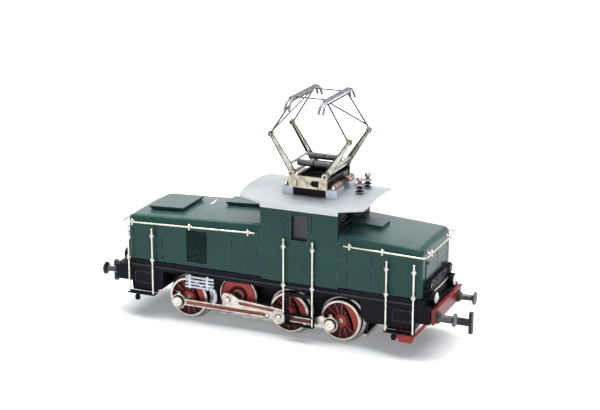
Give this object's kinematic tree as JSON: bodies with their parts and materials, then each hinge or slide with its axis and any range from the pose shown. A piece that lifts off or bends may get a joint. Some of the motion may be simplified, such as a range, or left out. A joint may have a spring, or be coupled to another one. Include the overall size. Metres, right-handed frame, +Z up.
{
  "type": "model electric locomotive",
  "caption": "Model electric shunting locomotive: centre cab, two hoods, rod-coupled spoked wheels, gear drive, swinging couplers and a diamond pantograph that folds.",
  "frame": {"origin": "middle of the locomotive's outer box in plan, at the height of the wheel flanges' lowest points", "axes": "+X along the track to the end with the short hood, +Y across to the far side of the picture, +Z up"},
  "size_m": [0.1192, 0.0298, 0.0734],
  "materials": {
    "green_paint": "satin",
    "black_paint": "satin",
    "silver_paint": "satin metallic",
    "red_paint": "satin",
    "wheel_red": "satin, with a bare nickel tyre",
    "nickel": "polished nickel",
    "warm_nickel": "tarnished nickel",
    "gunmetal": "dark blackened steel",
    "strip_silver": "satin",
    "steel": "bright",
    "copper": "copper, bare",
    "brass": "bare",
    "tinted_glazing": "dull clear moulding over a dark cab",
    "clear_lens": "clear",
    "brown_insulator": "pressed board"
  },
  "bodies": {
    "locomotive": {"chassis_frame": "black_paint", "base_plate": "steel", "body_shell": "green_paint", "cab_roof": "silver_paint", "cab_glazing": "tinted_glazing", "hood_hatch_end": "green_paint", "hood_hatch_cab": "green_paint", "body_screw": "steel", "buffer_beam_front": "red_paint", "buffer_beam_rear": "black_paint", "hood_rail_rear": "nickel", "hood_rail_front": "nickel", "front_guard": "red_paint", "roof_insulator_1": "black_paint", "roof_insulator_2": "black_paint", "field_magnet": "gunmetal", "brush_plate": "brown_insulator", "mounting_rod_rear": "copper", "mounting_rod_front": "copper", "pantograph_base": "warm_nickel", "raising_spring_near": "gunmetal", "raising_spring_far": "gunmetal", "buffer_rear_near": "gunmetal", "headlamp_lens_rear_near": "clear_lens", "buffer_front_near": "gunmetal", "headlamp_lens_front_near": "clear_lens", "step_rear_near": "nickel", "step_cab_near": "nickel", "step_front_near": "nickel", "frame_grid_near": "strip_silver", "buffer_rear_far": "gunmetal", "headlamp_lens_rear_far": "clear_lens", "buffer_front_far": "gunmetal", "headlamp_lens_front_far": "clear_lens", "step_rear_far": "nickel", "step_cab_far": "nickel", "step_front_far": "nickel", "frame_grid_far": "strip_silver"},
    "wheelset_1": {"axle_1": "steel", "wheel_1_near": "wheel_red", "wheel_1_far": "wheel_red"},
    "wheelset_2": {"drive_axle": "steel", "wheel_2_near": "wheel_red", "wheel_2_far": "wheel_red"},
    "wheelset_3": {"axle_3": "steel", "wheel_3_near": "wheel_red", "wheel_3_far": "wheel_red"},
    "jackshaft_set": {"jackshaft": "red_paint"},
    "rod_near": {"coupling_rod_near": "nickel"},
    "rod_far": {"coupling_rod_far": "nickel"},
    "idler": {"idler_gear": "brass"},
    "rotor": {"armature": "copper"},
    "pan_lower_rear": {"lower_arm_rear": "warm_nickel"},
    "pan_lower_front": {"lower_arm_front": "warm_nickel"},
    "pan_upper_rear": {"upper_arm_rear": "steel"},
    "pan_upper_front": {"upper_arm_front": "steel"},
    "pan_head": {"collector_head": "strip_silver"},
    "coupler_front_body": {"coupler_front": "gunmetal"},
    "coupler_rear_body": {"coupler_rear": "gunmetal"},
    "pickup": {"pickup_shoe": "steel"}
  },
  "joints": [
    {"name": "drive_spin", "type": "hinge", "parent": "locomotive", "child": "wheelset_2", "pos_m": [0.0055, 0, 0.0073], "axis": [0, 1, 0], "continuous": true},
    {"name": "wheelset_1_spin", "type": "hinge", "parent": "locomotive", "child": "wheelset_1", "pos_m": [-0.02815, 0, 0.0073], "axis": [0, 1, 0], "continuous": true},
    {"name": "wheelset_3_spin", "type": "hinge", "parent": "locomotive", "child": "wheelset_3", "pos_m": [0.0221, 0, 0.0073], "axis": [0, 1, 0], "continuous": true},
    {"name": "jackshaft_spin", "type": "hinge", "parent": "locomotive", "child": "jackshaft_set", "pos_m": [-0.01132, 0, 0.0103], "axis": [0, 1, 0], "continuous": true},
    {"name": "rod_near_pin", "type": "hinge", "parent": "wheelset_3", "child": "rod_near", "pos_m": [0.01955, -0.0115, 0.00627], "axis": [0, 1, 0], "continuous": true},
    {"name": "rod_far_pin", "type": "hinge", "parent": "wheelset_3", "child": "rod_far", "pos_m": [0.02313, 0.0115, 0.00475], "axis": [0, 1, 0], "continuous": true},
    {"name": "idler_spin", "type": "hinge", "parent": "locomotive", "child": "idler", "pos_m": [0.0055, -0.005, 0.0163], "axis": [0, 1, 0], "continuous": true},
    {"name": "rotor_spin", "type": "hinge", "parent": "locomotive", "child": "rotor", "pos_m": [0.0055, 0, 0.0238], "axis": [0, 1, 0], "continuous": true},
    {"name": "pantograph_fold", "type": "hinge", "parent": "locomotive", "child": "pan_lower_rear", "pos_m": [0.0057, 0, 0.0504], "axis": [0, 1, 0], "range_deg": [-43, 14], "deforming": ["raising_spring_near", "raising_spring_far"]},
    {"name": "lower_front_fold", "type": "hinge", "parent": "locomotive", "child": "pan_lower_front", "pos_m": [0.0163, 0, 0.0504], "axis": [0, 1, 0], "range_deg": [-14, 43]},
    {"name": "upper_rear_fold", "type": "hinge", "parent": "pan_lower_rear", "child": "pan_upper_rear", "pos_m": [-0.00134, 0, 0.06133], "axis": [0, 1, 0], "range_deg": [-28, 86]},
    {"name": "upper_front_fold", "type": "hinge", "parent": "pan_lower_front", "child": "pan_upper_front", "pos_m": [0.02334, 0, 0.06133], "axis": [0, 1, 0], "range_deg": [-86, 28]},
    {"name": "head_level", "type": "hinge", "parent": "pan_upper_rear", "child": "pan_head", "pos_m": [0.0057, 0, 0.07225], "axis": [0, 1, 0], "range_deg": [-43, 14]},
    {"name": "coupler_front_swing", "type": "hinge", "parent": "locomotive", "child": "coupler_front_body", "pos_m": [0.0465, 0, 0.0087], "axis": [0, 0, 1], "range_deg": [-12, 12]},
    {"name": "coupler_rear_swing", "type": "hinge", "parent": "locomotive", "child": "coupler_rear_body", "pos_m": [-0.0465, 0, 0.0087], "axis": [0, 0, 1], "range_deg": [-12, 12]},
    {"name": "pickup_lift", "type": "slide", "parent": "locomotive", "child": "pickup", "axis": [0, 0, 1], "range_m": [0, 0.0005], "stiffness_N_per_m": 20, "springref_m": -0.002}
  ],
  "couplings": [
    {"joint": "wheelset_1_spin", "follows": "drive_spin", "ratio": 1},
    {"joint": "wheelset_3_spin", "follows": "drive_spin", "ratio": 1},
    {"joint": "jackshaft_spin", "follows": "drive_spin", "ratio": 1},
    {"joint": "rod_near_pin", "follows": "drive_spin", "ratio": -1},
    {"joint": "rod_far_pin", "follows": "drive_spin", "ratio": -1},
    {"joint": "idler_spin", "follows": "drive_spin", "ratio": -0.8},
    {"joint": "rotor_spin", "follows": "drive_spin", "ratio": 1.6},
    {"joint": "lower_front_fold", "follows": "pantograph_fold", "ratio": -1},
    {"joint": "upper_rear_fold", "follows": "pantograph_fold", "ratio": -2},
    {"joint": "upper_front_fold", "follows": "pantograph_fold", "ratio": 2},
    {"joint": "head_level", "follows": "pantograph_fold", "ratio": 1}
  ]
}
